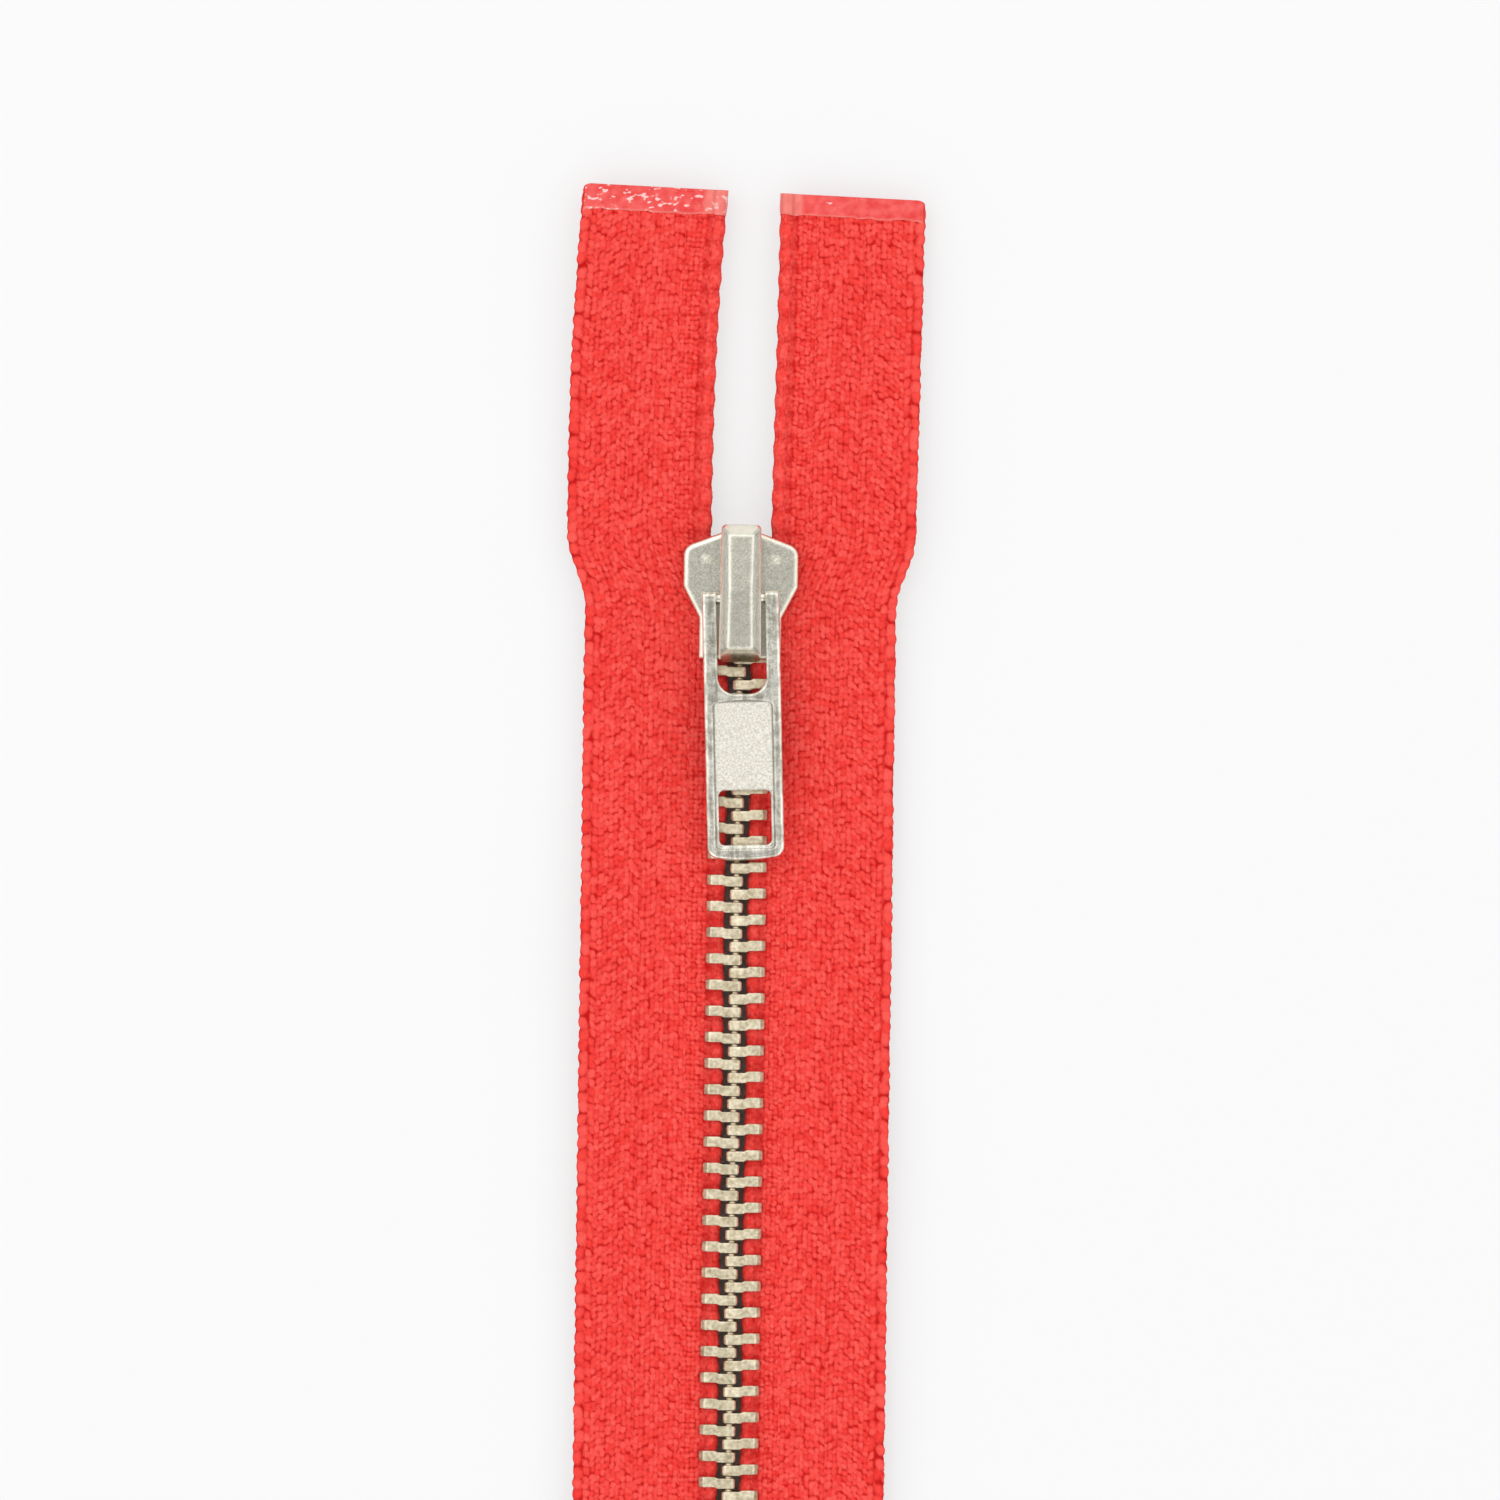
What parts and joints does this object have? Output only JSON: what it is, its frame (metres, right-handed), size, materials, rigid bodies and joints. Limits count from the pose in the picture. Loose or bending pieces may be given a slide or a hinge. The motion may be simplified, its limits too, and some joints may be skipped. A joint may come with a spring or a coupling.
{
  "type": "zipper",
  "caption": "Closed separating metal zipper: two woven tapes with interlocked teeth, an auto-lock slider with a hinged rectangular pull tab, and a retainer box.",
  "frame": {"origin": "middle of the retainer box's bottom end, on the tape's mid plane", "axes": "+Y up the chain from the retainer box to the slider, +Z out of the face that carries the pull tab, X across the tapes with the insertion pin's tape on +X"},
  "size_m": [0.0344, 0.183, 0.0084],
  "materials": {
    "tape": "red woven polyester tape, twill body with a plain woven bead",
    "cord": "twisted red cord inside the bead",
    "teeth": "nickel-plated brass, satin",
    "stops": "nickel-plated brass, satin",
    "film": "clear glossy film heat-sealed on the tape",
    "box": "nickel-plated die casting, satin",
    "pins": "nickel-plated brass, satin",
    "slider": "nickel-plated die casting, finely pitted",
    "pawl": "nickel-plated steel",
    "spring": "spring steel",
    "pull": "polished nickel rim with a matte sunk panel"
  },
  "bodies": {
    "retainer": {"retainer_box": "box", "retaining_pin": "pins", "insertion_pin": "pins", "left_end_film": "film", "right_end_film": "film"},
    "left_stringer": {"left_tape": "tape", "left_cord": "cord", "left_teeth": "teeth", "left_top_stop": "stops", "left_top_film": "film"},
    "right_stringer": {"right_tape": "tape", "right_cord": "cord", "right_teeth": "teeth", "right_top_stop": "stops", "right_top_film": "film"},
    "slider": {"slider_body": "slider", "slider_cover": "slider", "pawl_spring": "spring"},
    "pull_tab": {"pull_tab": "pull"},
    "pawl": {"locking_pawl": "pawl"}
  },
  "joints": [
    {"name": "slider_slide", "type": "slide", "parent": "retainer", "child": "slider", "axis": [0, -1, 0], "range_m": [0, 0.1282]},
    {"name": "left_stringer_flex", "type": "hinge", "parent": "retainer", "child": "left_stringer", "pos_m": [-0.00177, 0.0115, 0], "axis": [0, 0, 1], "range_deg": [0, 14.5], "deforming": ["left_tape", "left_cord", "left_teeth"]},
    {"name": "right_stringer_flex", "type": "hinge", "parent": "retainer", "child": "right_stringer", "pos_m": [0.00177, 0.0115, 0], "axis": [0, 0, -1], "range_deg": [0, 14.5], "deforming": ["right_tape", "right_cord", "right_teeth"]},
    {"name": "pull_tab_swing", "type": "hinge", "parent": "slider", "child": "pull_tab", "pos_m": [0, 0.1429, 0.00355], "axis": [-0.9994, -0.0349, 0], "range_deg": [0, 170]},
    {"name": "pawl_lift", "type": "hinge", "parent": "slider", "child": "pawl", "pos_m": [0, 0.148, 0.0041], "axis": [-1, 0, 0], "range_deg": [0, 3.5], "deforming": ["pawl_spring"]}
  ],
  "couplings": [
    {"joint": "left_stringer_flex", "follows": "slider_slide", "rad_per_m": 1.95},
    {"joint": "right_stringer_flex", "follows": "slider_slide", "rad_per_m": 1.95},
    {"joint": "pawl_lift", "follows": "pull_tab_swing", "ratio": 0.02}
  ]
}
